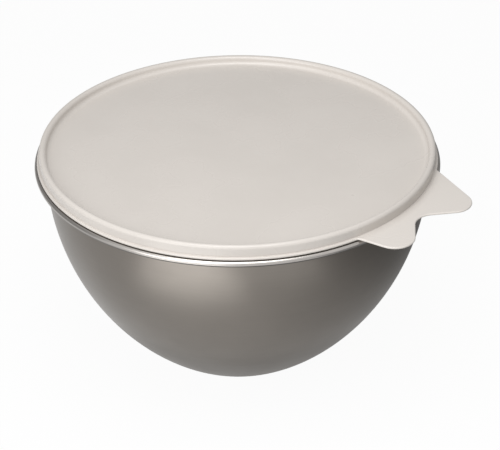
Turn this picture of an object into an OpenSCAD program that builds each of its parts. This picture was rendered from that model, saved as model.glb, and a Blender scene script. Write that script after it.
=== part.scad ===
// Steel bowl with a plastic lid that drops in and is pulled off by a two-eared tab.
// The bowl stands on its flat base at Z = 0, the tab points along +X, lengths are in millimetres.

/* [Bowl shell] */

// Height of the flat rim above the table
rim_h = 145; // [100:1:190]
// Outside radius of the straight collar below the rim
collar_r = 123.2; // [90:0.1:160]
// Height from the foot of the collar to the top of the rim
collar_h = 5.7; // [4.5:0.1:12]
// Radius of the flat base
base_r = 43.4; // [25:0.1:80]
// Outside radius of the curve between the flat base and the wall
base_curve_r = 8; // [4:0.5:30]
// Thickness of the steel sheet
sheet_t = 0.8; // [0.5:0.1:1.2]

/* [Bowl rim] */

// Width of the rim from the outside of the collar to the outside of the rolled edge
rim_w = 6.8; // [5.5:0.1:14]
// Outside radius of the roll itself
roll_r = 1.85; // [1.2:0.05:3]
// Radius of the bend from the collar into the flat rim, seen from inside
bend_r = 2; // [1:0.1:4]

/* [Lid] */

// Inset of the raised ring from the outside of the rolled edge
ring_inset = 3.2; // [2:0.1:5]
// Width of the raised ring
ring_w = 4.5; // [4:0.1:12]
// Height of the raised ring above the rim of the bowl
ring_h = 9; // [8:0.1:14]
// Rounding of the two upper edges of the ring
ring_round = 2.2; // [0.5:0.1:3]
// Thickness of the walls of the ring
ring_wall = 1.4; // [1:0.1:2]
// Depth of the flat panel below the top of the ring
panel_drop = 5.6; // [3:0.1:7]
// Thickness of the flat panel
panel_t = 1.2; // [1:0.1:3]
// Fillet between the panel and the ring
panel_fillet = 2.7; // [0.3:0.1:3.5]
// Width of the flange at the foot of the ring
flange_w = 1.6; // [0.8:0.1:4]
// Thickness of the flange
flange_t = 1.7; // [1.4:0.1:3]
// Height of the open slot between the rim and the flange
flange_gap = 0.3; // [0.2:0.1:3]

/* [Plug under the lid] */

// Depth of the plug below the rim of the bowl
plug_depth = 9; // [5:0.5:20]
// Thickness of the plug wall
plug_t = 1.3; // [0.8:0.1:2.5]
// Length of the tapered foot of the plug
plug_lead = 3; // [1:0.5:6]
// Inward step of the tapered foot
plug_taper = 0.6; // [0.2:0.1:1.2]
// Depth of the sealing rib below the rim
seal_drop = 4; // [2.5:0.1:6]
// Radius of the rounded sealing rib
seal_r = 0.8; // [0.4:0.1:1.5]
// Free play between the sealing rib and the collar
seal_play = 0.3; // [0.1:0.05:0.6]

/* [Pull tab] */

// Thickness of the tab, which lies level with the top of the flange
tab_t = 1.4; // [0.8:0.1:1.7]
// Distance from the edge of the flange out to the centre of the longer ear
ear_a_len = 14.1; // [8:0.1:30]
// Distance from the middle line of the tab to the centre of the longer ear
ear_a_w = 28.9; // [26:0.1:40]
// Distance from the edge of the flange out to the centre of the shorter ear
ear_b_len = 8.5; // [4:0.1:30]
// Distance from the middle line of the tab to the centre of the shorter ear
ear_b_w = 25.7; // [23:0.1:27]
// Radius of the rounded end of each ear
ear_r = 12.9; // [6:0.1:14.5]
// Distance from the edge of the flange out to the centre of the notch
notch_len = 22.1; // [18:0.1:30]
// Radius of the notch between the ears
notch_r = 12.6; // [6:0.1:16]
// Distance from the middle line of the tab to the place where the side of the longer ear leaves the flange
root_a_w = 56.3; // [46:0.1:75]
// Distance from the middle line of the tab to the place where the side of the shorter ear leaves the flange
root_b_w = 40.5; // [39.5:0.1:60]
// Fillet between the flange and each side of the tab
root_fillet = 3; // [1:0.5:8]

/* [Hidden] */

$fn = 96;
// Steps that make one full turn round
turn_fn = 180;
// Length by which a cutting shape passes the face that it cuts
over = 5;
// Depth by which the arcs and lines of an outline pass into each other
blend = 0.02;

// Centre of the curve above the edge of the flat base
base_c = [base_r, base_curve_r];
// Height of the foot of the collar above the centre of that curve
wall_rise = rim_h - collar_h - base_c.y;
// Width from the edge of the flat base to the collar
wall_spread = collar_r - base_r;
// Outside radius of the long curve of the wall, upright at the collar and running on into the base curve
wall_curve_r = (wall_spread ^ 2 + wall_rise ^ 2 - base_curve_r ^ 2) / (2 * (wall_spread - base_curve_r));
// Centre of the long curve
wall_c = [collar_r - wall_curve_r, rim_h - collar_h];
// Direction from that centre to the place where the two curves join
join_dir = (base_c - wall_c) / norm(base_c - wall_c);

// Inside radius of the collar
mouth_r = collar_r - sheet_t;
// Outside radius of the rolled edge
rim_r = collar_r + rim_w;
// Centre of the bend above the collar
bend_c = [mouth_r + bend_r, rim_h - bend_r];
// Centre of the roll at the edge
roll_c = [rim_r - roll_r, rim_h - roll_r];

// Outside radius of the raised ring
ring_r = rim_r - ring_inset;
// Rounding of the ring, at most a half circle over its width
ring_edge_r = min(ring_round, ring_w / 2 - blend);
// Outside radius of the flange
flange_r = ring_r + flange_w;
// Height of the top of the flange above the rim
flange_top = flange_gap + flange_t;
// Inside radius of the raised ring, where the panel starts
panel_r = ring_r - ring_w;
// Height of the top of the panel above the rim
panel_top = ring_h - panel_drop;
// Fillet of the panel, at most as high as the straight inner wall of the ring
panel_edge_fillet = min(panel_fillet, panel_drop - ring_edge_r);
// Height of the underside of the panel above the rim
panel_under = panel_top - panel_t;
// Outside radius of the plug wall
plug_r = mouth_r - seal_play - seal_r;
// Outside radius of the panel, which passes into the ring and carries the plug
panel_edge_r = max(panel_r + ring_wall, plug_r);

function polar(r, a) = [r * cos(a), r * sin(a)];
function bearing(v) = atan2(v.y, v.x);

// Point of the edge of the flange at the distance y from the middle line of the tab
function at_flange(y) = [sqrt(flange_r ^ 2 - y ^ 2), y];

// Point where a line from p touches the circle c, r
function touch(p, c, r, side) =
    let (w = c - p)
    p + polar(sqrt(norm(w) ^ 2 - r ^ 2), bearing(w) + side * asin(r / norm(w)));

// Direction across the line that touches the circle c, r and, on its other side, the circle d, s
function across(c, r, d, s, side) = bearing(d - c) + side * acos((r + s) / norm(d - c));

// Centre of a circle of radius r that touches the flange circle and the line from p to q
function fillet_at(p, q, r, side) =
    let (
        along = (q - p) / norm(q - p),
        away = side * [-along.y, along.x],
        foot = p + r * away,
        reach = flange_r + r,
        b = foot * along
    )
    foot + along * (sqrt(b ^ 2 - foot * foot + reach ^ 2) - b);

// Section of everything inside the outer face of the shell, moved in by a step
module shell_fill(step) {
    past_join = base_c + 2 * base_curve_r * join_dir;
    right = collar_r + over;
    intersection() {
        translate(wall_c)
            circle(wall_curve_r - step, $fn = turn_fn);
        polygon([[0, base_c.y], base_c, past_join, [right, past_join.y], [right, wall_c.y], [0, wall_c.y]]);
    }
    intersection() {
        translate(base_c)
            circle(base_curve_r - step + blend);
        translate([0, step])
            square([right, wall_c.y]);
    }
    translate([0, step])
        square([base_c.x, base_c.y - step]);
    translate([0, wall_c.y])
        square([collar_r - step, rim_h - bend_r - wall_c.y]);
}

// Section of the bend, the flat rim and the rolled edge
module rim_section() {
    translate(bend_c)
        difference() {
            circle(bend_r);
            circle(bend_r - sheet_t);
            translate([0, -over])
                square([over, 2 * over]);
            translate([-over, -over])
                square([2 * over, over]);
        }
    translate([bend_c.x, rim_h - sheet_t])
        square([roll_c.x - bend_c.x, sheet_t]);
    translate(roll_c)
        difference() {
            circle(roll_r);
            circle(roll_r - sheet_t);
            translate([-over, 0])
                square(over);
        }
}

// One pressed steel shell: flat base, curved wall, collar, flat rim and rolled edge
module bowl() {
    color([0.50, 0.48, 0.46])
        rotate_extrude($fn = turn_fn)
            union() {
                difference() {
                    shell_fill(0);
                    shell_fill(sheet_t);
                }
                rim_section();
            }
}

// Section of the raised ring, hollow from below, its foot resting on the rim
module ring_section() {
    difference() {
        union() {
            translate([panel_r, 0])
                square([ring_w, ring_h - ring_edge_r]);
            translate([panel_r + ring_edge_r, 0])
                square([ring_w - 2 * ring_edge_r, ring_h]);
            for (x = [panel_r + ring_edge_r, ring_r - ring_edge_r])
                translate([x, ring_h - ring_edge_r])
                    circle(ring_edge_r);
        }
        translate([panel_r + ring_wall, -over])
            square([ring_w - 2 * ring_wall, ring_h - ring_wall + over]);
        translate([panel_r - over, -over])
            square([ring_w / 2 + over, panel_under + over]);
    }
}

// Section of the flange with its rounded edge
module flange_section() {
    translate([ring_r - ring_wall, flange_gap])
        square([flange_r - flange_t / 2 - ring_r + ring_wall, flange_t]);
    translate([flange_r - flange_t / 2, flange_gap + flange_t / 2])
        circle(flange_t / 2);
}

// Section of the panel and of its fillet to the ring
module panel_section() {
    translate([0, panel_under])
        square([panel_edge_r, panel_t]);
    difference() {
        translate([panel_r - panel_edge_fillet, panel_top])
            square(panel_edge_fillet);
        translate([panel_r - panel_edge_fillet, panel_top + panel_edge_fillet])
            circle(panel_edge_fillet);
    }
}

// Section of the plug wall with its sealing rib and tapered foot
module plug_section() {
    polygon([
        [plug_r - plug_t, panel_under + panel_t / 2],
        [plug_r - plug_t, -plug_depth],
        [plug_r - plug_taper, -plug_depth],
        [plug_r, plug_lead - plug_depth],
        [plug_r, panel_under + panel_t / 2]
    ]);
    translate([plug_r, -seal_drop])
        circle(seal_r);
}

// Outline of the pull tab, from inside the ring wall to the ends of the ears
module tab_outline() {
    ear_a = [flange_r + ear_a_len, ear_a_w];
    ear_b = [flange_r + ear_b_len, -ear_b_w];
    notch = [flange_r + notch_len, 0];
    ear_in = ear_r - blend;
    notch_in = notch_r - blend;
    root_a = at_flange(root_a_w);
    root_b = at_flange(-root_b_w);
    side_a = touch(root_a, ear_a, ear_in, 1);
    side_b = touch(root_b, ear_b, ear_in, -1);
    dir_a = across(ear_a, ear_in, notch, notch_in, 1);
    dir_b = across(ear_b, ear_in, notch, notch_in, -1);
    fil_a = fillet_at(root_a, side_a, root_fillet - blend, 1);
    fil_b = fillet_at(root_b, side_b, root_fillet - blend, -1);
    difference() {
        union() {
            polygon([
                [0, 0],
                root_a,
                side_a,
                ear_a + polar(ear_in, dir_a),
                notch - polar(notch_in, dir_a),
                notch,
                notch - polar(notch_in, dir_b),
                ear_b + polar(ear_in, dir_b),
                side_b,
                root_b
            ]);
            polygon([[0, 0], fil_a, side_a]);
            polygon([[0, 0], side_b, fil_b]);
            translate(ear_a)
                circle(ear_r);
            translate(ear_b)
                circle(ear_r);
        }
        translate(notch)
            circle(notch_r);
        translate(fil_a)
            circle(root_fillet);
        translate(fil_b)
            circle(root_fillet);
        circle(ring_r - ring_wall / 2, $fn = turn_fn);
    }
}

// One plastic moulding: panel, raised ring, flange, plug with sealing rib, and pull tab
module lid() {
    color([0.82, 0.80, 0.78])
        translate([0, 0, rim_h])
            union() {
                rotate_extrude($fn = turn_fn)
                    union() {
                        panel_section();
                        ring_section();
                        flange_section();
                        plug_section();
                    }
                translate([0, 0, flange_top - tab_t])
                    linear_extrude(tab_t)
                        tab_outline();
            }
}

bowl();
lid();
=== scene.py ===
# %% [markdown]
# # A steel mixing bowl with a drop-in plastic lid
#
# This lesson dresses two plain CAD pieces as the real thing: a pressed bowl of satin steel and an
# off-white plastic lid with a pull tab. Both pieces are round, so most of the work is one idea used
# twice: draw half of a cut through the piece, then turn that section about the upright axis.

# %% [markdown]
# ## The frame
#
# The CAD model comes in first and is never moved. It gives the place and the size of every piece, so
# the first thing to keep is its box. Each new mesh below is written in the same frame, in metres, with
# the axis of the bowl on Z and the middle of the pull tab on +X.

import math

import bmesh
import bpy
from mathutils import Matrix, Vector


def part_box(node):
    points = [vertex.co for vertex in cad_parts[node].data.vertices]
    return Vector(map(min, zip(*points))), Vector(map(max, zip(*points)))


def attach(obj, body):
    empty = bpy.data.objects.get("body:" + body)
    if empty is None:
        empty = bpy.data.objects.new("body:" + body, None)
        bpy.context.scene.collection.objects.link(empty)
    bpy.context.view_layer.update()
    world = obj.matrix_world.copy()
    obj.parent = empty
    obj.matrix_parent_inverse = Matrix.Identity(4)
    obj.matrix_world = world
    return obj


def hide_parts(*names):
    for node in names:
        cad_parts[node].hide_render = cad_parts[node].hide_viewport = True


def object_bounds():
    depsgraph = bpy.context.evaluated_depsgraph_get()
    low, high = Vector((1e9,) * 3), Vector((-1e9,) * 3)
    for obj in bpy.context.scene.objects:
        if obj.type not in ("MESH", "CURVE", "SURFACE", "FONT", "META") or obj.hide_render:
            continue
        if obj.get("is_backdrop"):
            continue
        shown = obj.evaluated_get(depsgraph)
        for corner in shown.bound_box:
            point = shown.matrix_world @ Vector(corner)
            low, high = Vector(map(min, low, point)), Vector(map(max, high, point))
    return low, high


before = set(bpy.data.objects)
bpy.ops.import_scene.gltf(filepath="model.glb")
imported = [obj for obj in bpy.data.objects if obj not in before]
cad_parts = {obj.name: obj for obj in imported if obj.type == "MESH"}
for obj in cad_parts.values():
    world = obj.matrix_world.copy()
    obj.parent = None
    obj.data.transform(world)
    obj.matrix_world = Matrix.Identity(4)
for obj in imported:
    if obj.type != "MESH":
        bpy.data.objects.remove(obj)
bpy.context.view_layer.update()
MM = 0.001

print("CAD nodes:", sorted(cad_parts))

# %% [markdown]
# ## The camera
#
# The camera stands where the photographer stood. Its angle, distance and lens were worked out from the
# outlines of the rim, the ring and the tab in the photograph, and the picture leans by a little over a
# quarter of a degree. A camera object looks along its own -Z axis, so its three axes are built first
# and become the columns of its matrix. The lens is written for a sensor 36 mm wide across a picture of
# 500 by 450.

# %% Camera
VIEW_AZIMUTH = 38.0
VIEW_ELEVATION = 31.86
VIEW_ROLL = 0.29
VIEW_DISTANCE = 1.040
VIEW_TARGET = Vector((6.147, 4.803, 89.98)) * MM
LENS = 113.03


def view_axes(azimuth, elevation):
    """Right, up and back directions of a viewer at this azimuth and elevation, in degrees."""
    a = math.radians(azimuth)
    e = math.radians(elevation)
    back = Vector((math.sin(a) * math.cos(e), -math.cos(a) * math.cos(e), math.sin(e)))
    right = Vector((math.cos(a), math.sin(a), 0.0))
    return right, back.cross(right), back


right, up, back = view_axes(VIEW_AZIMUTH, VIEW_ELEVATION)
lean = math.radians(VIEW_ROLL)
leaned_right = right * math.cos(lean) - up * math.sin(lean)
leaned_up = right * math.sin(lean) + up * math.cos(lean)

camera_data = bpy.data.cameras.new("photo_camera")
camera_data.sensor_fit = "HORIZONTAL"
camera_data.sensor_width = 36.0
camera_data.lens = LENS
camera_data.clip_start = 0.01
camera_data.clip_end = 50.0
camera = bpy.data.objects.new("photo_camera", camera_data)
bpy.context.scene.collection.objects.link(camera)
turn = Matrix((leaned_right, leaned_up, back)).transposed()
camera.matrix_world = Matrix.Translation(VIEW_TARGET + back * VIEW_DISTANCE) @ turn.to_4x4()
bpy.context.scene.camera = camera

print("camera at", [round(c, 3) for c in camera.location], "m, lens", LENS, "mm")

# %% [markdown]
# ## Shared effects for the two finishes
#
# Steel and plastic look quite different, but two things happen to both: hands and cloths leave soft
# cloudy patches that change the gloss, and every made surface has a fine tooth left by its tool or
# mould. Each of these effects is one shader node group with named inputs. A material then places the
# group and gives it its own scale, so that a change to the effect reaches both finishes.

# %% Helper that starts a shader node group


def start_effect(name, inputs, outputs):
    """An empty shader node group with named float or vector sockets."""
    group = bpy.data.node_groups.new(name, "ShaderNodeTree")
    for label, kind, value in inputs:
        socket = group.interface.new_socket(label, in_out="INPUT", socket_type=kind)
        if value is not None:
            socket.default_value = value
    for label, kind in outputs:
        group.interface.new_socket(label, in_out="OUTPUT", socket_type=kind)
    return group, group.nodes.new("NodeGroupInput"), group.nodes.new("NodeGroupOutput")


# %% [markdown]
# **Cloudy patches.** A low noise, made a little steeper by Map Range, gives a mask from 0 to 1 with
# broad, soft edges. It works on object coordinates, so the patches stay where they are when the lid
# lifts.

# %% Effect: cloudy patches
cloudy, cloudy_in, cloudy_out = start_effect(
    "Cloudy patches",
    [("Vector", "NodeSocketVector", None), ("Patches per metre", "NodeSocketFloat", 20.0)],
    [("Mask", "NodeSocketFloat")],
)
noise = cloudy.nodes.new("ShaderNodeTexNoise")
noise.inputs["Detail"].default_value = 3.0
noise.inputs["Roughness"].default_value = 0.55
steeper = cloudy.nodes.new("ShaderNodeMapRange")
steeper.inputs["From Min"].default_value = 0.3
steeper.inputs["From Max"].default_value = 0.7
cloudy.links.new(cloudy_in.outputs["Vector"], noise.inputs["Vector"])
cloudy.links.new(cloudy_in.outputs["Patches per metre"], noise.inputs["Scale"])
cloudy.links.new(noise.outputs["Fac"], steeper.inputs["Value"])
cloudy.links.new(steeper.outputs["Result"], cloudy_out.inputs["Mask"])
print("effect made:", cloudy.name, len(cloudy.nodes), "nodes")

# %% [markdown]
# **Fine tooth.** Two noises of different scale are added: the first is the tooth itself, the second
# breaks its evenness. Fed with plain coordinates it is the fine sand of a mould. Fed with coordinates
# that run only across the turning direction it becomes the hair lines of a spun and rubbed metal.

# %% Effect: fine tooth
tooth, tooth_in, tooth_out = start_effect(
    "Fine tooth",
    [("Vector", "NodeSocketVector", None), ("Marks per metre", "NodeSocketFloat", 1500.0)],
    [("Height", "NodeSocketFloat")],
)
sharp = tooth.nodes.new("ShaderNodeTexNoise")
sharp.inputs["Detail"].default_value = 2.0
broad = tooth.nodes.new("ShaderNodeTexNoise")
broad.inputs["Detail"].default_value = 1.0
wider = tooth.nodes.new("ShaderNodeMath")
wider.operation = "MULTIPLY"
wider.inputs[1].default_value = 0.27
blend_marks = tooth.nodes.new("ShaderNodeMix")
blend_marks.inputs["Factor"].default_value = 0.35
tooth.links.new(tooth_in.outputs["Vector"], sharp.inputs["Vector"])
tooth.links.new(tooth_in.outputs["Vector"], broad.inputs["Vector"])
tooth.links.new(tooth_in.outputs["Marks per metre"], sharp.inputs["Scale"])
tooth.links.new(tooth_in.outputs["Marks per metre"], wider.inputs[0])
tooth.links.new(wider.outputs[0], broad.inputs["Scale"])
tooth.links.new(sharp.outputs["Fac"], blend_marks.inputs["A"])
tooth.links.new(broad.outputs["Fac"], blend_marks.inputs["B"])
tooth.links.new(blend_marks.outputs["Result"], tooth_out.inputs["Height"])
print("effect made:", tooth.name, len(tooth.nodes), "nodes")

# %% [markdown]
# ## Helpers for a material
#
# A material here always has the same skeleton: one Principled shader, object coordinates, and a few
# ramps and mixes that turn a mask into a colour or a roughness. These small helpers place one node
# each. Where a helper takes two ends, each end is a plain constant or the output of another node.

# %% Material helpers


def start_material(name):
    """A material, its node tree, its Principled shader and its object coordinates."""
    material = bpy.data.materials.new(name)
    material.use_nodes = True
    tree = material.node_tree
    place = tree.nodes.new("ShaderNodeTexCoord").outputs["Object"]
    return material, tree, tree.nodes["Principled BSDF"], place


def place_effect(tree, group, vector, label, amount):
    """One use of a shared effect with its own scale."""
    node = tree.nodes.new("ShaderNodeGroup")
    node.node_tree = group
    node.inputs[label].default_value = amount
    tree.links.new(vector, node.inputs["Vector"])
    return node.outputs[0]


def ramp(tree, value, low, high, start, end):
    """A value that goes from start to end while another goes from low to high."""
    node = tree.nodes.new("ShaderNodeMapRange")
    for label, amount in (("From Min", low), ("From Max", high), ("To Min", start), ("To Max", end)):
        node.inputs[label].default_value = amount
    tree.links.new(value, node.inputs["Value"])
    return node.outputs["Result"]


def mixed(tree, mask, first, second):
    """A colour or a number that follows a mask from the first end to the second."""
    is_number = isinstance(second, float) or getattr(second, "type", "") == "VALUE"
    kind = "VALUE" if is_number else "RGBA"
    node = tree.nodes.new("ShaderNodeMix")
    node.data_type = "FLOAT" if is_number else "RGBA"
    ends = [s for s in node.inputs if s.type == kind and s.name in ("A", "B")]
    for socket, end in zip(ends, (first, second)):
        if isinstance(end, bpy.types.NodeSocket):
            tree.links.new(end, socket)
        else:
            socket.default_value = end if is_number else (*end, 1.0)
    tree.links.new(mask, node.inputs["Factor"])
    return [s for s in node.outputs if s.type == kind][0]


def relief(tree, shader, height, depth, strength):
    """Fine relief: a Bump node that feeds the shader's Normal."""
    node = tree.nodes.new("ShaderNodeBump")
    node.inputs["Distance"].default_value = depth
    node.inputs["Strength"].default_value = strength
    tree.links.new(height, node.inputs["Height"])
    tree.links.new(node.outputs["Normal"], shader.inputs["Normal"])


# %% [markdown]
# ## Finish 1: spun satin steel
#
# The bowl is pressed and spun from steel sheet and then rubbed to a satin. The rubbing runs round the
# axis, so its hair lines change along the wall and hardly at all round it. A vector made of the radius,
# the height and a trace of X does just that, and it has no seam, which an angle would have.

# %% Coordinates that run round the axis
TRACE_OF_X = 0.012


def from_axis(tree, place):
    """The distance from the upright axis, and the node that splits the coordinates."""
    split = tree.nodes.new("ShaderNodeSeparateXYZ")
    tree.links.new(place, split.inputs[0])
    flat = tree.nodes.new("ShaderNodeCombineXYZ")
    tree.links.new(split.outputs["X"], flat.inputs["X"])
    tree.links.new(split.outputs["Y"], flat.inputs["Y"])
    length = tree.nodes.new("ShaderNodeVectorMath")
    length.operation = "LENGTH"
    tree.links.new(flat.outputs[0], length.inputs[0])
    return length.outputs["Value"], split


spun_steel, tree, shader, place = start_material("spun satin steel")
radius, split = from_axis(tree, place)
trace = tree.nodes.new("ShaderNodeMath")
trace.operation = "MULTIPLY"
trace.inputs[1].default_value = TRACE_OF_X
tree.links.new(split.outputs["X"], trace.inputs[0])
round_the_axis = tree.nodes.new("ShaderNodeCombineXYZ")
tree.links.new(radius, round_the_axis.inputs["X"])
tree.links.new(trace.outputs[0], round_the_axis.inputs["Y"])
tree.links.new(split.outputs["Z"], round_the_axis.inputs["Z"])
print("coordinates made:", len(tree.nodes), "nodes")

# %% [markdown]
# The grey is warm and darker than bare steel, because the wall in the photograph is dark, and the white
# floor and sky that it mirrors here are bright. Hands and cloths rub the outside of the rolled edge
# most, so it is smoother than the wall. Its lighter grey there is painted light, and the underside of
# the roll is painted shade, a near-black grey. Two masks find these places by the radius and by the
# height. Hair lines and patches together move tone and roughness everywhere else.

# %% Material: spun satin steel
STEEL_LIGHT = (0.220, 0.201, 0.180)
STEEL_DARK = (0.192, 0.175, 0.157)
SATIN_FINE = 0.30
SATIN_COARSE = 0.38
# Painted light: the lighter grey of the rolled edge. Painted shade: the near-black grey under the roll.
EDGE_PAINTED_LIGHT = (0.44, 0.417, 0.394)
ROLL_PAINTED_SHADE = (0.05, 0.046, 0.042)
EDGE_ROUGHNESS = 0.28
EDGE_STARTS = 128.4 * MM
EDGE_FULL = 129.0 * MM
PAINTED_SHADE_BELOW = 142.3 * MM
PAINTED_LIGHT_ABOVE = 143.1 * MM

hair_lines = place_effect(tree, tooth, round_the_axis.outputs[0], "Marks per metre", 1400.0)
patches = place_effect(tree, cloudy, place, "Patches per metre", 26.0)
both = tree.nodes.new("ShaderNodeMix")
both.inputs["Factor"].default_value = 0.5
tree.links.new(hair_lines, both.inputs["A"])
tree.links.new(patches, both.inputs["B"])
rubbed = both.outputs["Result"]
on_edge = ramp(tree, radius, EDGE_STARTS, EDGE_FULL, 0.0, 1.0)
upper = ramp(tree, split.outputs["Z"], PAINTED_SHADE_BELOW, PAINTED_LIGHT_ABOVE, 0.0, 1.0)
wall_grey = mixed(tree, rubbed, STEEL_LIGHT, STEEL_DARK)
# Painted shade under the roll, fading upwards into painted light on the outside of the rolled edge.
edge_painted_light_and_shade = mixed(tree, upper, ROLL_PAINTED_SHADE, EDGE_PAINTED_LIGHT)
tree.links.new(mixed(tree, on_edge, wall_grey, edge_painted_light_and_shade), shader.inputs["Base Color"])
wall_satin = ramp(tree, rubbed, 0.0, 1.0, SATIN_FINE, SATIN_COARSE)
tree.links.new(mixed(tree, on_edge, wall_satin, EDGE_ROUGHNESS), shader.inputs["Roughness"])
relief(tree, shader, hair_lines, depth=0.00004, strength=0.35)
shader.inputs["Metallic"].default_value = 1.0
shader.inputs["Anisotropic"].default_value = 0.3
shader.inputs["Anisotropic Rotation"].default_value = 0.25
print("finish made:", spun_steel.name, len(tree.nodes), "nodes")

# %% [markdown]
# ## Finish 2: moulded plastic
#
# The lid is a soft, semi-matt plastic in warm off-white. The mould leaves a fine sand on it, and use
# leaves faint cloudy patches. Both are slight: the tone moves by about a twentieth, and the roughness
# from 0.24 to 0.32, which is enough to break the even gloss of the wide flat panel. The pull tab is
# lighter in the photograph, perhaps because light shines through where it is so thin, so its tone is
# written a little lighter.

# %% Material: moulded plastic
CREAM_LIGHT = (0.640, 0.600, 0.560)
CREAM_DARK = (0.605, 0.566, 0.527)
# The tab's lighter tone is painted light.
TAB_PAINTED_LIGHT = (0.675, 0.634, 0.592)
TAB_STARTS = 128.8 * MM
TAB_FULL = 132.0 * MM
GLOSS_FINE = 0.24
GLOSS_COARSE = 0.32

moulded_plastic, tree, shader, place = start_material("moulded off-white plastic")
sand = place_effect(tree, tooth, place, "Marks per metre", 900.0)
patches = place_effect(tree, cloudy, place, "Patches per metre", 16.0)
on_tab = ramp(tree, from_axis(tree, place)[0], TAB_STARTS, TAB_FULL, 0.0, 1.0)
cream = mixed(tree, patches, CREAM_LIGHT, CREAM_DARK)
tree.links.new(mixed(tree, on_tab, cream, TAB_PAINTED_LIGHT), shader.inputs["Base Color"])
tree.links.new(ramp(tree, patches, 0.0, 1.0, GLOSS_FINE, GLOSS_COARSE), shader.inputs["Roughness"])
relief(tree, shader, sand, depth=0.00006, strength=0.25)
shader.inputs["IOR"].default_value = 1.49
print("finish made:", moulded_plastic.name, len(tree.nodes), "nodes")

# %% [markdown]
# ## Drawing half a section
#
# A section is a chain of points (radius, height). Two helpers draw it: one steps along an arc, the
# other walks along corners and rounds each of them. On a straight stretch the walk also puts a point
# close to each end. Smooth shading averages the faces that meet at a point, and these close pairs keep
# a flat face flat.

# %% Section helpers
EASE = 0.35


def arc(centre, radius, start, end, steps):
    """Points along an arc, angles in degrees, both ends included."""
    out = []
    for k in range(steps + 1):
        a = math.radians(start + (end - start) * k / steps)
        out.append((centre[0] + radius * math.cos(a), centre[1] + radius * math.sin(a)))
    return out


def straight(p, q):
    """Both ends of a straight stretch, with a close point beside each end where there is room."""
    p, q = Vector(p), Vector(q)
    length = (q - p).length
    out = [p]
    if length > 3 * EASE:
        along = (q - p) / length
        out += [p + along * EASE, q - along * EASE]
    return [tuple(v) for v in (*out, q)]


def rounded_corner(before, here, after, rounding, steps):
    """Points of the arc that rounds the corner at here, between its two neighbours."""
    to_before = (before - here).normalized()
    to_after = (after - here).normalized()
    half = to_before.angle(to_after) / 2
    centre = here + (to_before + to_after).normalized() * (rounding / math.sin(half))
    first = here + to_before * (rounding / math.tan(half)) - centre
    last = here + to_after * (rounding / math.tan(half)) - centre
    start = math.atan2(first.y, first.x)
    sweep = math.atan2(first.x * last.y - first.y * last.x, first.dot(last))
    angles = [start + sweep * k / steps for k in range(steps + 1)]
    return [centre + rounding * Vector((math.cos(a), math.sin(a))) for a in angles]


def rounded_walk(corners, steps=6):
    """A walk along (radius, height, rounding) corners, with an arc at each rounded corner."""
    places = [Vector(corner[:2]) for corner in corners]
    chains = []
    for k, (_, _, rounding) in enumerate(corners):
        if rounding == 0 or k in (0, len(corners) - 1):
            chains.append([places[k]])
        else:
            chains.append(rounded_corner(places[k - 1], places[k], places[k + 1], rounding, steps))
    out = [tuple(v) for v in chains[0]]
    for chain in chains[1:]:
        out += straight(out[-1], chain[0])[1:]
        out += [tuple(v) for v in chain[1:]]
    return out


print("a right-angled corner of 1 mm:", len(rounded_walk([(0, 0, 0), (5, 0, 1), (5, 5, 0)])), "points")

# %% [markdown]
# ## Turning a section: one Geometry Nodes tree for both pieces
#
# The turned shape follows a rule, so Geometry Nodes make it. Blender's Screw modifier or bmesh's spin
# would also do, but a node tree keeps its sizes as named inputs. It starts from a plain grid with one
# row for each point of the section and one column for each step round. Every grid point looks up its
# section point by its row and turns it by its column's angle. Merging by distance then closes the seam
# and both poles.

# %% Geometry Nodes: turn a section
turned = bpy.data.node_groups.new("Turn a section", "GeometryNodeTree")
sockets = {
    label: turned.interface.new_socket(label, in_out="INPUT", socket_type=kind).identifier
    for label, kind in (
        ("Section", "NodeSocketGeometry"),
        ("Steps round", "NodeSocketInt"),
        ("Join distance", "NodeSocketFloat"),
        ("Finish", "NodeSocketMaterial"),
    )
}
turned.interface.new_socket("Turned", in_out="OUTPUT", socket_type="NodeSocketGeometry")
n = turned.nodes
link = turned.links.new
way_in = n.new("NodeGroupInput")
way_out = n.new("NodeGroupOutput")


def sum_node(operation, a, b):
    """A Math node of the turning tree, fed by sockets or plain numbers."""
    node = n.new("ShaderNodeMath")
    node.operation = operation
    for socket, value in zip(node.inputs, (a, b)):
        if isinstance(value, (int, float)):
            socket.default_value = value
        elif value is not None:
            link(value, socket)
    return node.outputs[0]


count = n.new("GeometryNodeAttributeDomainSize")
link(way_in.outputs["Section"], count.inputs["Geometry"])
columns = sum_node("ADD", way_in.outputs["Steps round"], 1)
grid = n.new("GeometryNodeMeshGrid")
link(count.outputs["Point Count"], grid.inputs["Vertices X"])
link(columns, grid.inputs["Vertices Y"])
index = n.new("GeometryNodeInputIndex").outputs[0]
row = sum_node("FLOOR", sum_node("DIVIDE", index, columns), None)
column = sum_node("SUBTRACT", index, sum_node("MULTIPLY", row, columns))
share = sum_node("DIVIDE", column, way_in.outputs["Steps round"])
angle = sum_node("MULTIPLY", share, 2 * math.pi)

look_up = n.new("GeometryNodeSampleIndex")
look_up.data_type = "FLOAT_VECTOR"
look_up.domain = "POINT"
link(way_in.outputs["Section"], look_up.inputs["Geometry"])
link(n.new("GeometryNodeInputPosition").outputs[0], look_up.inputs["Value"])
link(row, look_up.inputs["Index"])
swing = n.new("ShaderNodeVectorRotate")
swing.rotation_type = "Z_AXIS"
link(look_up.outputs["Value"], swing.inputs["Vector"])
link(angle, swing.inputs["Angle"])
put = n.new("GeometryNodeSetPosition")
link(grid.outputs["Mesh"], put.inputs["Geometry"])
link(swing.outputs["Vector"], put.inputs["Position"])
close = n.new("GeometryNodeMergeByDistance")
link(put.outputs["Geometry"], close.inputs["Geometry"])
link(way_in.outputs["Join distance"], close.inputs["Distance"])
soft = n.new("GeometryNodeSetShadeSmooth")
link(close.outputs["Geometry"], soft.inputs["Geometry"])
real = n.new("GeometryNodeRealizeInstances")
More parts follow.
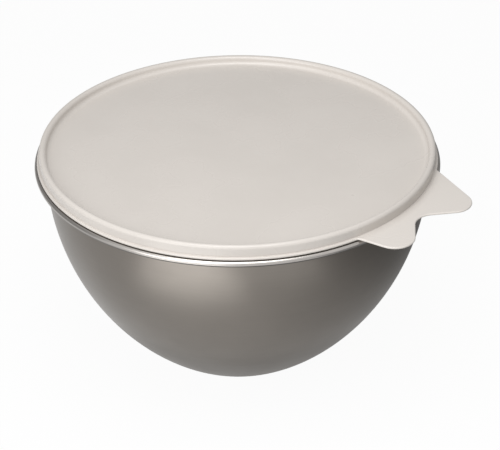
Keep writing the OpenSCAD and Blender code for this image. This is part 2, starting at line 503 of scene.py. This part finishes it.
link(soft.outputs["Geometry"], real.inputs["Geometry"])
paint = n.new("GeometryNodeSetMaterial")
link(real.outputs["Geometry"], paint.inputs["Geometry"])
link(way_in.outputs["Finish"], paint.inputs["Material"])
link(paint.outputs["Geometry"], way_out.inputs["Turned"])
print("tree made:", turned.name, len(n), "nodes")

# %% [markdown]
# The tree is used through a modifier. Its inputs are set by their identifiers before Blender first
# looks at the object. The result is then copied into a plain mesh and the modifier goes, because the
# finished piece should need nothing but its own points. A closed mesh has two faces at every edge, and
# a mesh that faces outwards has a positive volume, so both are tested.

# %% Helper: turn a section into a plain mesh
STEPS_ROUND = 288
JOIN_DISTANCE = 1e-6


def mesh_report(mesh):
    """Open edges, volume in cubic centimetres and triangle count of a mesh."""
    work = bmesh.new()
    work.from_mesh(mesh)
    open_edges = sum(1 for e in work.edges if len(e.link_faces) != 2)
    volume = work.calc_volume(signed=True)
    triangles = sum(len(f.verts) - 2 for f in work.faces)
    work.free()
    return open_edges, volume * 1e6, triangles


def turn_piece(name, section, lift, finish):
    """A turned piece from a section in mm, raised by lift."""
    points = [(r * MM, 0.0, (z + lift) * MM) for r, z in section]
    edges = [(k, k + 1) for k in range(len(points) - 1)]
    outline = bpy.data.meshes.new(name + "_section")
    outline.from_pydata(points, edges, [])
    piece = bpy.data.objects.new(name, outline)
    bpy.context.scene.collection.objects.link(piece)
    modifier = piece.modifiers.new("turn", "NODES")
    modifier.node_group = turned
    modifier[sockets["Steps round"]] = STEPS_ROUND
    modifier[sockets["Join distance"]] = JOIN_DISTANCE
    modifier[sockets["Finish"]] = finish
    piece.update_tag()
    depsgraph = bpy.context.evaluated_depsgraph_get()
    mesh = bpy.data.meshes.new_from_object(piece.evaluated_get(depsgraph))
    mesh.name = name
    piece.modifiers.remove(modifier)
    piece.data = mesh
    bpy.data.meshes.remove(outline)
    if mesh_report(mesh)[1] < 0:
        mesh.flip_normals()
    return piece


print("steps round:", STEPS_ROUND)

# %% [markdown]
# ## The bowl
#
# The bowl is one sheet of steel, 0.8 mm thick. From the axis outwards its section is a flat base, a
# small curve, the long curve of the wall, a short upright collar, a bend, a flat rim that carries the
# lid, and an edge that is rolled under for three quarters of a turn. Then the same path comes back on
# the inside, one sheet thickness away. The long curve has to leave the collar upright and run on into
# the small curve, and these two conditions give its radius.

# %% Bowl section
SHEET = 0.8
RIM_H = 145.0
COLLAR_R = 123.2
COLLAR_H = 5.7
BASE_R = 43.4
BASE_CURVE = 8.0
RIM_R = 130.0
ROLL = 1.85
BEND = 2.0

base_c = (BASE_R, BASE_CURVE)
rise = RIM_H - COLLAR_H - BASE_CURVE
spread = COLLAR_R - BASE_R
wall_curve = (spread**2 + rise**2 - BASE_CURVE**2) / (2 * (spread - BASE_CURVE))
wall_c = (COLLAR_R - wall_curve, RIM_H - COLLAR_H)
join = math.degrees(math.atan2(base_c[1] - wall_c[1], base_c[0] - wall_c[0]))
mouth_r = COLLAR_R - SHEET
bend_c = (mouth_r + BEND, RIM_H - BEND)
roll_c = (RIM_R - ROLL, RIM_H - ROLL)
curl_end = (roll_c[0] - ROLL + SHEET / 2, roll_c[1])

bowl_section = straight((0, 0), (BASE_R, 0))
bowl_section += arc(base_c, BASE_CURVE, -90, join, steps=10)[1:]
bowl_section += arc(wall_c, wall_curve, join, 0, steps=40)[1:]
bowl_section += straight((COLLAR_R, wall_c[1]), (COLLAR_R, bend_c[1]))[1:]
bowl_section += arc(bend_c, BEND - SHEET, 180, 90, steps=8)[1:]
bowl_section += straight((bend_c[0], RIM_H - SHEET), (roll_c[0], RIM_H - SHEET))[1:]
bowl_section += arc(roll_c, ROLL - SHEET, 90, -180, steps=18)[1:]
bowl_section += arc(curl_end, SHEET / 2, 0, 180, steps=6)[1:-1]
bowl_section += arc(roll_c, ROLL, -180, 90, steps=28)
bowl_section += straight((roll_c[0], RIM_H), (bend_c[0], RIM_H))[1:]
bowl_section += arc(bend_c, BEND, 90, 180, steps=10)[1:]
bowl_section += straight((mouth_r, bend_c[1]), (mouth_r, wall_c[1]))[1:]
bowl_section += arc(wall_c, wall_curve - SHEET, 0, join, steps=40)[1:]
bowl_section += arc(base_c, BASE_CURVE - SHEET, join, -90, steps=10)[1:]
bowl_section += straight((BASE_R, SHEET), (0, SHEET))[1:]
print("bowl section:", len(bowl_section), "points; radius of the long curve", round(wall_curve, 1), "mm")

# %% Turn the bowl
bowl = turn_piece("bowl_shell", bowl_section, 0.0, spun_steel)
open_edges, volume, triangles = mesh_report(bowl.data)
print("bowl:", triangles, "triangles,", open_edges, "open edges,", round(volume, 1), "cm3 of steel")

# %% [markdown]
# ## The lid
#
# The lid is one moulding. A flat panel lies inside a raised ring that is hollow from below. The outer
# foot of the ring rests on the steel rim and carries a round-edged flange, and a thin plug with a
# half-round sealing rib hangs into the mouth. Heights are counted from the rim of the bowl. The walk
# starts under the panel and ends on top of it, and its roundings are what catches the light: the ring
# is almost a half circle on top, and a wide fillet leads down from it to the panel.

# %% Lid section
PANEL_R = 122.3
PANEL_TOP = 3.4
PANEL_UNDER = 2.2
PANEL_FILLET = 2.7
RING_R = 126.8
RING_WALL = 1.4
RING_H = 9.0
RING_ROUND = 2.2
FLANGE_R = 128.4
FLANGE_T = 1.7
FLANGE_GAP = 0.3
FLANGE_TOP = FLANGE_GAP + FLANGE_T
PLUG_R = 121.3
PLUG_T = 1.3
PLUG_FOOT = -9.0
PLUG_LEAD = 3.0
PLUG_TAPER = 0.6
RIB_R = 0.8
RIB_Z = -4.0
INNER_ROUND = 0.5
CREASE_ROUND = 0.3
FOOT_ROUND = 0.15
NEARLY = 0.01

flange_round = FLANGE_T / 2 - NEARLY
rib_round = RIB_R - NEARLY
plug_inside = PLUG_R - PLUG_T
hollow_in = PANEL_R + RING_WALL
hollow_out = RING_R - RING_WALL
hollow_top = RING_H - RING_WALL

lid_section = rounded_walk(
    [
        (0, PANEL_UNDER, 0),
        (plug_inside, PANEL_UNDER, INNER_ROUND),
        (plug_inside, PLUG_FOOT, CREASE_ROUND),
        (PLUG_R - PLUG_TAPER, PLUG_FOOT, CREASE_ROUND),
        (PLUG_R, PLUG_FOOT + PLUG_LEAD, INNER_ROUND),
        (PLUG_R, RIB_Z - RIB_R, 0),
        (PLUG_R + RIB_R, RIB_Z - RIB_R, rib_round),
        (PLUG_R + RIB_R, RIB_Z + RIB_R, rib_round),
        (PLUG_R, RIB_Z + RIB_R, 0),
        (PLUG_R, PANEL_UNDER, CREASE_ROUND),
        (hollow_in, PANEL_UNDER, CREASE_ROUND),
        (hollow_in, hollow_top, INNER_ROUND),
        (hollow_out, hollow_top, INNER_ROUND),
        (hollow_out, 0, CREASE_ROUND),
        (RING_R, 0, FOOT_ROUND),
        (RING_R, FLANGE_GAP, FOOT_ROUND - NEARLY),
        (FLANGE_R, FLANGE_GAP, flange_round),
        (FLANGE_R, FLANGE_TOP, flange_round),
        (RING_R, FLANGE_TOP, FOOT_ROUND),
        (RING_R, RING_H, RING_ROUND),
        (PANEL_R, RING_H, RING_ROUND),
        (PANEL_R, PANEL_TOP, PANEL_FILLET),
        (0, PANEL_TOP, 0),
    ]
)
print("lid section:", len(lid_section), "points")

# %% Turn the lid
lid = turn_piece("lid_moulding", lid_section, RIM_H, moulded_plastic)
open_edges, volume, triangles = mesh_report(lid.data)
print("lid without its tab:", triangles, "triangles,", open_edges, "open edges")
print("plastic in it:", round(volume, 1), "cm3")

# %% [markdown]
# ## The pull tab
#
# On one side the flange grows into a thin pull tab with two ears and a notch between them. It isn't
# round, so it can't be turned. Its outline is a chain of arcs and lines that touch each other: fillet,
# side, ear, notch, ear, side, fillet. A line that leaves a point and just touches a circle is found
# with a right angle at the touching point, and everything else follows from it.

# %% Helpers for touching arcs
EAR_R = 12.9
NOTCH_R = 12.6
ROOT_FILLET = 3.0
LONG_EAR = Vector((FLANGE_R + 14.1, 28.9))
SHORT_EAR = Vector((FLANGE_R + 8.5, -25.7))
NOTCH = Vector((FLANGE_R + 22.1, 0.0))
LONG_ROOT_Y = 56.3
SHORT_ROOT_Y = -40.5
ARC_STEP = 0.8
FILLET_STEP = 0.4


def polar(radius, angle):
    """Point at this distance and direction from the axis."""
    return radius * Vector((math.cos(angle), math.sin(angle)))


def bearing(v):
    """Direction of a vector in the plane."""
    return math.atan2(v.y, v.x)


def at_flange(y):
    """Point of the flange edge at this distance from the middle line of the tab."""
    return Vector((math.sqrt(FLANGE_R**2 - y**2), y))


def touching(point, centre, radius, side):
    """Where a line from the point touches the circle."""
    w = centre - point
    reach = math.sqrt(w.length_squared - radius**2)
    return point + polar(reach, bearing(w) + side * math.asin(radius / w.length))


def across(centre, radius, other, other_radius, side):
    """Direction across the line that touches one circle and, on its other side, the other."""
    w = other - centre
    return bearing(w) + side * math.acos((radius + other_radius) / w.length)


def root_fillet(start, end, side):
    """Centre of the fillet that touches the flange edge and the line from start to end."""
    along = (end - start).normalized()
    foot = start + ROOT_FILLET * side * Vector((-along.y, along.x))
    b = foot.dot(along)
    reach = math.sqrt(b * b - foot.length_squared + (FLANGE_R + ROOT_FILLET) ** 2)
    return foot + along * (reach - b)


def foot_on(point, start, end):
    """Foot of the point on the line from start to end."""
    along = (end - start).normalized()
    return start + along * (point - start).dot(along)


def swept(centre, radius, start, end, turn_way, spacing):
    """Points on an arc from the direction of start to that of end, +1 against the clock."""
    a = bearing(start - centre)
    b = bearing(end - centre)
    while (b - a) * turn_way < 0:
        b += turn_way * 2 * math.pi
    steps = max(4, math.ceil(abs(b - a) * radius / spacing))
    return [centre + polar(radius, a + (b - a) * k / steps) for k in range(steps + 1)]


print("ear to ear:", round((LONG_EAR - SHORT_EAR).length, 1), "mm between the centres")

# %% Outline of the tab
long_root = at_flange(LONG_ROOT_Y)
short_root = at_flange(SHORT_ROOT_Y)
long_side = touching(long_root, LONG_EAR, EAR_R, 1)
short_side = touching(short_root, SHORT_EAR, EAR_R, -1)
long_way = across(LONG_EAR, EAR_R, NOTCH, NOTCH_R, 1)
short_way = across(SHORT_EAR, EAR_R, NOTCH, NOTCH_R, -1)
long_fillet = root_fillet(long_root, long_side, 1)
short_fillet = root_fillet(short_root, short_side, -1)
long_leave = polar(FLANGE_R, bearing(long_fillet))
short_leave = polar(FLANGE_R, bearing(short_fillet))
long_meet = foot_on(long_fillet, long_root, long_side)
short_meet = foot_on(short_fillet, short_root, short_side)
long_ear_end = LONG_EAR + polar(EAR_R, long_way)
short_ear_end = SHORT_EAR + polar(EAR_R, short_way)
notch_start = NOTCH - polar(NOTCH_R, short_way)
notch_end = NOTCH - polar(NOTCH_R, long_way)

outline = swept(short_fillet, ROOT_FILLET, short_leave, short_meet, -1, FILLET_STEP)
outline += swept(SHORT_EAR, EAR_R, short_side, short_ear_end, 1, ARC_STEP)
outline += swept(NOTCH, NOTCH_R, notch_start, notch_end, -1, ARC_STEP)
outline += swept(LONG_EAR, EAR_R, long_ear_end, long_side, 1, ARC_STEP)
outline += swept(long_fillet, ROOT_FILLET, long_meet, long_leave, -1, FILLET_STEP)
farthest = max(p.x for p in outline)
print("outline:", len(outline), "points, reaching", round(farthest, 2), "mm along X")

# %% [markdown]
# The outline gets a half-round edge, as thick as the tab. At each point the edge is a little half
# circle that stands across the outline. From there the upper and the lower face run inwards to a circle
# inside the wall of the ring, where no one sees them end. Long straight sides are cut into short steps
# first, so that the faces stay even, and close pairs of points keep both faces flat. The top lies a
# hair above the flange, so that no two faces share one plane.

# %% Tab mesh
TAB_T = 1.4
TAB_RISE = 0.02
HIDDEN_R = RING_R - RING_WALL / 2
EDGE_STEPS = 10
LONGEST_STEP = 2.5


def even_steps(points, longest):
    """The open chain of points with every long step divided."""
    out = []
    for p, q in zip(points, points[1:]):
        pieces = max(1, math.ceil((q - p).length / longest))
        out += [p.lerp(q, k / pieces) for k in range(pieces)]
    return out + [points[-1]]


path = even_steps(outline, LONGEST_STEP)
half_t = TAB_T / 2
middle = RIM_H + FLANGE_TOP + TAB_RISE - half_t
work = bmesh.new()
rings = []
for k, p in enumerate(path):
    ahead = path[min(k + 1, len(path) - 1)] - path[max(k - 1, 0)]
    outward = Vector((ahead.y, -ahead.x)).normalized()
    heart = p - outward * half_t
    inner = polar(HIDDEN_R, bearing(p))
    face = [inner, polar(HIDDEN_R + EASE, bearing(p)), heart - outward * EASE]
    chain = [(v, half_t) for v in face]
    for step in range(EDGE_STEPS + 1):
        a = math.pi / 2 - math.pi * step / EDGE_STEPS
        chain.append((heart + outward * half_t * math.cos(a), half_t * math.sin(a)))
    chain += [(v, -half_t) for v in reversed(face)]
    rings.append([work.verts.new((v.x * MM, v.y * MM, (middle + z) * MM)) for v, z in chain])
for a, b in zip(rings, rings[1:]):
    for k in range(len(a)):
        m = (k + 1) % len(a)
        work.faces.new((a[k], b[k], b[m], a[m]))
work.faces.new(rings[0])
work.faces.new(rings[-1])
for face in work.faces:
    face.smooth = True
bmesh.ops.recalc_face_normals(work, faces=work.faces)
tab_mesh = bpy.data.meshes.new("lid_tab")
work.to_mesh(tab_mesh)
work.free()
open_edges, volume, triangles = mesh_report(tab_mesh)
print("tab:", triangles, "triangles,", open_edges, "open edges,", round(volume, 2), "cm3")

# %% Join tab and lid
work = bmesh.new()
work.from_mesh(lid.data)
work.from_mesh(tab_mesh)
work.to_mesh(lid.data)
work.free()
bpy.data.meshes.remove(tab_mesh)
lid.data.materials.clear()
lid.data.materials.append(moulded_plastic)
lid.data.polygons.foreach_set("material_index", [0] * len(lid.data.polygons))
print("lid:", len(lid.data.polygons), "faces,", len(lid.data.materials), "material")

# %% [markdown]
# ## Handing the pieces to the frame
#
# Each new mesh stands for one CAD node and rides on that node's body, so the lid lifts off when the
# joint moves. Looks must not change sizes, so each mesh is compared with the box of its node.

# %% Ride and replace
for piece, node, material_slot in ((bowl, "bowl", "bowl_steel"), (lid, "lid", "lid_plastic")):
    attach(piece, node)
    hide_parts(node)
    low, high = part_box(node)
    mine = [v.co for v in piece.data.vertices]
    off_low = max(abs(min(v[k] for v in mine) - low[k]) for k in range(3))
    off_high = max(abs(max(v[k] for v in mine) - high[k]) for k in range(3))
    gap = max(off_low, off_high) / MM
    print(piece.name, "stands for", node, "- boxes differ by", round(gap, 3), "mm")

# %% [markdown]
# ## The floor
#
# The object stands on a plain white floor. Most of its white is a glow that the camera and mirrors see,
# and the rest is lit like paper, so a faint shadow of the object stays on it. A helper reads what kind
# of ray looks at a surface and gives each kind its own level. From below the floor is clear, so that
# the base can be looked at.

# %% Helper: one level for each kind of ray


def level_by_ray(tree, falling, camera, mirror):
    """A level for light that falls on things, one for the camera and one for mirrors and glass."""
    ray = tree.nodes.new("ShaderNodeLightPath")
    level = falling
    for kind, amount in (
        ("Is Glossy Ray", mirror),
        ("Is Transmission Ray", mirror),
        ("Is Camera Ray", camera),
    ):
        level = mixed(tree, ray.outputs[kind], level, amount)
    return level


# %% Floor
FLOOR_SIDE = 6.0
FLOOR_WHITE = (0.92, 0.92, 0.92, 1.0)
FLOOR_GLOW = 0.95

corners = [(-1, -1, 0), (1, -1, 0), (1, 1, 0), (-1, 1, 0)]
floor_mesh = bpy.data.meshes.new("floor")
floor_mesh.from_pydata([Vector(c) * FLOOR_SIDE for c in corners], [], [(0, 1, 2, 3)])
floor = bpy.data.objects.new("floor", floor_mesh)
bpy.context.scene.collection.objects.link(floor)

white_floor = bpy.data.materials.new("white floor")
white_floor.use_nodes = True
white_floor.cycles.emission_sampling = "NONE"
tree = white_floor.node_tree
tree.nodes.clear()
lit = tree.nodes.new("ShaderNodeBsdfDiffuse")
lit.inputs["Color"].default_value = FLOOR_WHITE
glow = tree.nodes.new("ShaderNodeEmission")
glow.inputs["Strength"].default_value = 1.0
seen = tree.nodes.new("ShaderNodeMixShader")
tree.links.new(level_by_ray(tree, 0.0, FLOOR_GLOW, FLOOR_GLOW), seen.inputs["Fac"])
tree.links.new(lit.outputs[0], seen.inputs[1])
tree.links.new(glow.outputs[0], seen.inputs[2])
from_below = tree.nodes.new("ShaderNodeNewGeometry").outputs["Backfacing"]
clear = tree.nodes.new("ShaderNodeBsdfTransparent")
one_sided = tree.nodes.new("ShaderNodeMixShader")
tree.links.new(from_below, one_sided.inputs["Fac"])
tree.links.new(seen.outputs[0], one_sided.inputs[1])
tree.links.new(clear.outputs[0], one_sided.inputs[2])
surface = tree.nodes.new("ShaderNodeOutputMaterial")
tree.links.new(one_sided.outputs[0], surface.inputs["Surface"])
floor_mesh.materials.append(white_floor)
floor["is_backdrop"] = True
print("floor:", 2 * FLOOR_SIDE, "m wide")

# %% [markdown]
# ## Lamps and sky
#
# One soft lamp stands almost overhead and lights the level faces: panel, ring top and tab. A second one
# stands low on the left and lights upright faces, which is what makes the inner wall of the ring light
# on one side and grey on the other. An even white sky fills the rest. Together they bring a level white
# card to about 1, so a colour comes out about as it is written. The camera and the mirrors see the sky
# as plain white.

# %% Lamps
LAMP_AIM = Vector((0.0, 0.0, 0.1))


def soft_lamp(name, azimuth, elevation, distance, size, power):
    """A square area lamp that looks at the bowl from this direction."""
    data = bpy.data.lights.new(name, "AREA")
    data.shape = "SQUARE"
    data.size = size
    data.energy = power
    lamp = bpy.data.objects.new(name, data)
    bpy.context.scene.collection.objects.link(lamp)
    axes = Matrix(view_axes(azimuth, elevation)).transposed()
    lamp.matrix_world = Matrix.Translation(LAMP_AIM + axes.col[2] * distance) @ axes.to_4x4()
    return lamp


key_lamp = soft_lamp(
    "key_lamp", azimuth=VIEW_AZIMUTH - 8, elevation=70, distance=0.7, size=0.45, power=3.05
)
side_lamp = soft_lamp(
    "side_lamp", azimuth=VIEW_AZIMUTH - 30, elevation=23, distance=1.6, size=1.2, power=11.7
)
print("lamps:", key_lamp.data.energy, "W above and", side_lamp.data.energy, "W from the left")

# %% Sky
SKY = 0.35
SKY_SEEN = 1.0
SKY_MIRRORED = 1.0

world = bpy.data.worlds.new("even sky")
world.use_nodes = True
tree = world.node_tree
sky = tree.nodes["Background"]
sky.inputs["Color"].default_value = (1.0, 1.0, 1.0, 1.0)
tree.links.new(level_by_ray(tree, SKY, SKY_SEEN, SKY_MIRRORED), sky.inputs["Strength"])
bpy.context.scene.world = world
print("sky:", SKY, "on the object,", SKY_SEEN, "to the camera")

# %% [markdown]
# ## Cards for the steel to mirror
#
# A steel wall shows what stands around it, and most of what this wall shows is the ground in front of
# it. A photographer lays cards there. The widest one covers the ground and goes from light on the left
# to grey on the right, a bright one gives the tall highlight, and a pale one beside it softens its
# flank. The cards here are seen by reflections alone. Each glows from one level to another along its
# own direction, and that change is the soft fade of the wall. Their glow is left out of the search for
# lamps, because they light nothing, and the picture stays cleaner.

# %% Helper: a card that only mirrors see


def mirror_card(name, first, last, toward, near, far, near_glow, far_glow):
    """A strip between two chains of points that only reflections show, with a glow that changes."""
    count = len(first)
    faces = [(k, k + 1, count + k + 1, count + k) for k in range(count - 1)]
    mesh = bpy.data.meshes.new(name)
    mesh.from_pydata(first + last, [], faces)
    card = bpy.data.objects.new(name, mesh)
    bpy.context.scene.collection.objects.link(card)
    paint = bpy.data.materials.new(name)
    paint.use_nodes = True
    paint.cycles.emission_sampling = "NONE"
    tree = paint.node_tree
    tree.nodes.clear()
    along = tree.nodes.new("ShaderNodeVectorMath")
    along.operation = "DOT_PRODUCT"
    along.inputs[1].default_value = toward
    tree.links.new(tree.nodes.new("ShaderNodeTexCoord").outputs["Object"], along.inputs[0])
    level = ramp(tree, along.outputs["Value"], near, far, near_glow, far_glow)
    glow = tree.nodes.new("ShaderNodeEmission")
    tree.links.new(level, glow.inputs["Strength"])
    surface = tree.nodes.new("ShaderNodeOutputMaterial")
    tree.links.new(glow.outputs[0], surface.inputs["Surface"])
    mesh.materials.append(paint)
    card.visible_camera = False
    card.visible_diffuse = False
    card.visible_transmission = False
    card.visible_shadow = False
    card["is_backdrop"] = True
    return card


def floor_card(name, azimuth, reach, width, lift, fade, glow):
    """A card on the floor; its glow changes between two distances along its direction."""
    across_axis, _, toward = view_axes(azimuth, 0.0)
    rise = Vector((0.0, 0.0, lift))
    chains = [
        [toward * distance + across_axis * half + rise for half in (-width / 2, width / 2)]
        for distance in reach
    ]
    return mirror_card(name, *chains, toward, *fade, *glow)


# %% Cards on the floor
GROUND_AZIMUTH = VIEW_AZIMUTH + 115
GROUND_FADE = (-0.06, 0.20)

ground_card = floor_card(
    "ground_card",
    azimuth=GROUND_AZIMUTH,
    reach=(-3.0, 3.0),
    width=6.0,
    lift=0.0002,
    fade=GROUND_FADE,
    glow=(0.90, 0.24),
)
bright_card = floor_card(
    "bright_card",
    azimuth=VIEW_AZIMUTH - 23.5,
    reach=(0.205, 0.48),
    width=0.23,
    lift=0.0004,
    fade=(0.205, 0.30),
    glow=(1.8, 2.8),
)
pale_card = floor_card(
    "pale_card",
    azimuth=VIEW_AZIMUTH + 18,
    reach=(0.23, 0.60),
    width=0.24,
    lift=0.0003,
    fade=(0.23, 0.30),
    glow=(0.8, 1.2),
)
print("cards on the floor:", ground_card.name, bright_card.name, pale_card.name)

# %% [markdown]
# Two more cards finish the surroundings. The ground right under a bowl gets little light, so a round
# card keeps the lowest part of the wall from shining. A grey screen stands behind the bowl in a wide
# curve: the level panel of the lid shows it in its soft gloss, and so do the sides of the rolled edge.

# %% Shade under the bowl
SHADE_R = 0.095
SHADE_HOLE_SHARE = 0.01
SHADE_LIFT = 0.0003
SHADE_GLOW = (0.66, 0.22)
CARD_STEP = 10

lift = Vector((0.0, 0.0, SHADE_LIFT))
edge = [view_axes(a, 0.0)[2] * SHADE_R + lift for a in range(0, 361, CARD_STEP)]
hole = [p * SHADE_HOLE_SHARE + lift for p in edge]
ground_way = view_axes(GROUND_AZIMUTH, 0.0)[2]
mirror_card("shade_card", hole, edge, ground_way, *GROUND_FADE, *SHADE_GLOW)
print("shade under the bowl:", 2 * SHADE_R, "m wide")

# %% Screen behind the bowl
SCREEN_R = 1.2
SCREEN_H = 1.5
SCREEN_FROM = 75
SCREEN_TO = 285
SCREEN_GLOW = (0.35, 0.45)

turns = range(SCREEN_FROM, SCREEN_TO + 1, CARD_STEP)
foot = [view_axes(VIEW_AZIMUTH + a, 0.0)[2] * SCREEN_R for a in turns]
head = [p + Vector((0.0, 0.0, SCREEN_H)) for p in foot]
mirror_card("back_card", foot, head, Vector((0.0, 0.0, 1.0)), 0.0, SCREEN_H, *SCREEN_GLOW)
print("screen behind the bowl:", len(foot) - 1, "faces")

# %% [markdown]
# ## Colour management and the last measure
#
# The view transform is Standard, so a written colour reaches the picture without a film curve. At the
# end the box of the dressed object is measured and printed, because looks must not change sizes.

# %% Finish
bpy.context.scene.view_settings.view_transform = "Standard"
low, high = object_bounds()
print("visual box in mm:", [round(c / MM, 2) for c in (*low, *high)])
